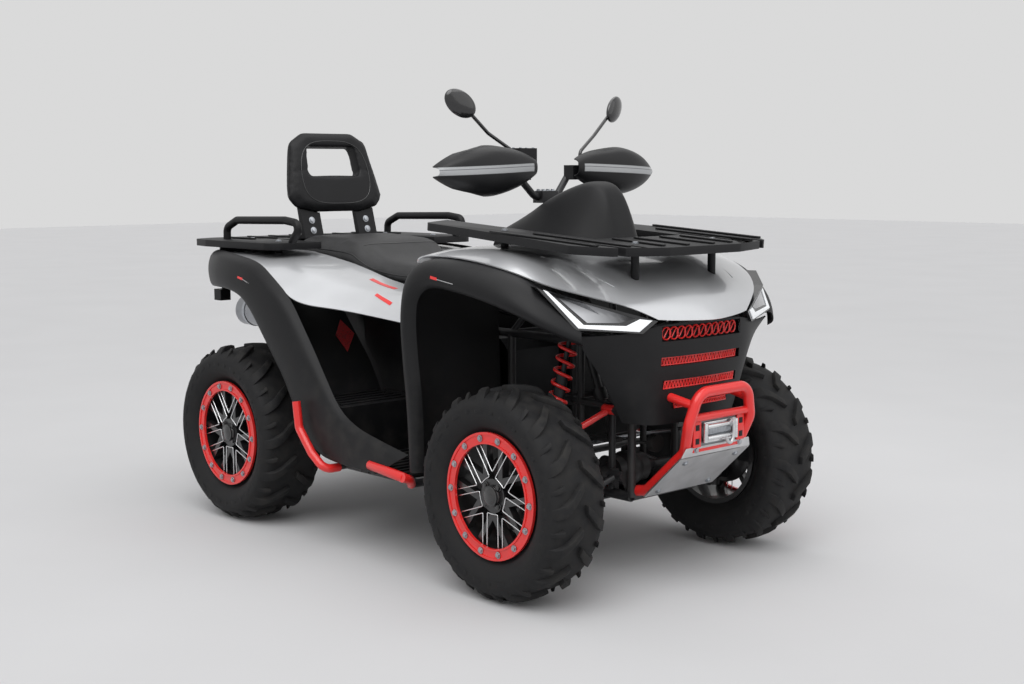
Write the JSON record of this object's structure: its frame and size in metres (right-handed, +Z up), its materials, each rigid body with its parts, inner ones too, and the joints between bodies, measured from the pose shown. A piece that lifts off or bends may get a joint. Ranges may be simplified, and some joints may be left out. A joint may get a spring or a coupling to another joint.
{
  "type": "quad bike",
  "caption": "Long-wheelbase quad bike that rolls on wheels with lugged tyres: steered front axle, two-up seat with backrest, front and rear racks and a winch bumper.",
  "frame": {"origin": "on the ground, at the middle of the length and width", "axes": "+X forward, +Y to the rider's left, +Z up"},
  "size_m": [2.3529, 1.302, 1.5706],
  "materials": {
    "tyre": "matt rubber",
    "rim_black": "satin black with bright machined edges",
    "red_paint": "gloss red paint",
    "cast_alloy": "raw cast metal",
    "chassis_black": "satin black powder coat",
    "damper_steel": "plain steel",
    "silver_paint": "gloss silver white, with red side stripes",
    "dark_plastic": "grained dark grey moulding",
    "black_plastic": "satin black moulding",
    "seat_cover": "black textured seat cover",
    "silver_metal": "brushed silver",
    "lamp": "clear lens over a reflector with a white light strip",
    "tail_lens": "red lens",
    "grip_rubber": "black rubber"
  },
  "bodies": {
    "chassis": {"rear_carriers": "cast_alloy", "lower_arms": "chassis_black", "upper_arms": "red_paint", "dampers": "damper_steel", "coil_springs": "red_paint", "front_drive": "chassis_black", "rear_drive": "chassis_black", "frame": "chassis_black", "engine": "cast_alloy", "belly_skid": "cast_alloy", "hood": "silver_paint", "front_fenders": "dark_plastic", "rear_fenders": "dark_plastic", "side_panels": "silver_paint", "dash_cowl": "dark_plastic", "seat": "seat_cover", "backrest": "black_plastic", "backrest_posts": "black_plastic", "front_rack": "dark_plastic", "rear_rack": "dark_plastic", "grab_rails": "black_plastic", "bumper": "red_paint", "bumper_plate": "silver_metal", "winch": "cast_alloy", "step_bars": "red_paint", "footwells": "black_plastic", "headlamps": "lamp", "front_grille": "dark_plastic", "radiator": "black_plastic", "tail_lamps": "tail_lens", "hitch": "chassis_black", "muffler": "damper_steel", "rear_liners": "black_plastic", "rear_panel": "black_plastic", "horn": "black_plastic"},
    "steering": {"handlebar": "chassis_black", "switchgear": "black_plastic", "grips": "grip_rubber", "hand_guards": "black_plastic", "mirrors": "black_plastic"},
    "front_left_carrier": {"knuckle_left": "cast_alloy"},
    "front_right_carrier": {"knuckle_right": "cast_alloy"},
    "left_tie_rod": {"tie_rod_left": "damper_steel"},
    "right_tie_rod": {"tie_rod_right": "damper_steel"},
    "front_left_wheel": {"tyre_front_left": "tyre", "rim_front_left": "rim_black", "bead_ring_front_left": "red_paint"},
    "front_right_wheel": {"tyre_front_right": "tyre", "rim_front_right": "rim_black", "bead_ring_front_right": "red_paint"},
    "rear_left_wheel": {"tyre_rear_left": "tyre", "rim_rear_left": "rim_black", "bead_ring_rear_left": "red_paint"},
    "rear_right_wheel": {"tyre_rear_right": "tyre", "rim_rear_right": "rim_black", "bead_ring_rear_right": "red_paint"}
  },
  "joints": [
    {"name": "steering_turn", "type": "hinge", "parent": "chassis", "child": "steering", "pos_m": [0.369, 0, 1.218], "axis": [-0.3741, 0, 0.9274], "range_deg": [-33, 33]},
    {"name": "front_left_steer", "type": "hinge", "parent": "chassis", "child": "front_left_carrier", "pos_m": [0.75, 0.455, 0.33], "axis": [0, 0, 1], "range_deg": [-33, 33]},
    {"name": "front_right_steer", "type": "hinge", "parent": "chassis", "child": "front_right_carrier", "pos_m": [0.75, -0.455, 0.33], "axis": [0, 0, 1], "range_deg": [-33, 33]},
    {"name": "left_tie_rod_pin", "type": "hinge", "parent": "front_left_carrier", "child": "left_tie_rod", "pos_m": [0.66, 0.475, 0.402], "axis": [0, 0, 1], "range_deg": [-33, 33]},
    {"name": "right_tie_rod_pin", "type": "hinge", "parent": "front_right_carrier", "child": "right_tie_rod", "pos_m": [0.66, -0.475, 0.402], "axis": [0, 0, 1], "range_deg": [-33, 33]},
    {"name": "front_left_wheel_spin", "type": "hinge", "parent": "front_left_carrier", "child": "front_left_wheel", "pos_m": [0.75, 0.515, 0.33], "axis": [0, 1, 0], "continuous": true},
    {"name": "front_right_wheel_spin", "type": "hinge", "parent": "front_right_carrier", "child": "front_right_wheel", "pos_m": [0.75, -0.515, 0.33], "axis": [0, 1, 0], "continuous": true},
    {"name": "rear_left_wheel_spin", "type": "hinge", "parent": "chassis", "child": "rear_left_wheel", "pos_m": [-0.73, 0.505, 0.33], "axis": [0, 1, 0], "continuous": true},
    {"name": "rear_right_wheel_spin", "type": "hinge", "parent": "chassis", "child": "rear_right_wheel", "pos_m": [-0.73, -0.505, 0.33], "axis": [0, 1, 0], "continuous": true}
  ],
  "couplings": [
    {"joint": "front_left_steer", "follows": "steering_turn", "ratio": 1},
    {"joint": "front_right_steer", "follows": "steering_turn", "ratio": 1},
    {"joint": "left_tie_rod_pin", "follows": "steering_turn", "ratio": -1},
    {"joint": "right_tie_rod_pin", "follows": "steering_turn", "ratio": -1}
  ]
}
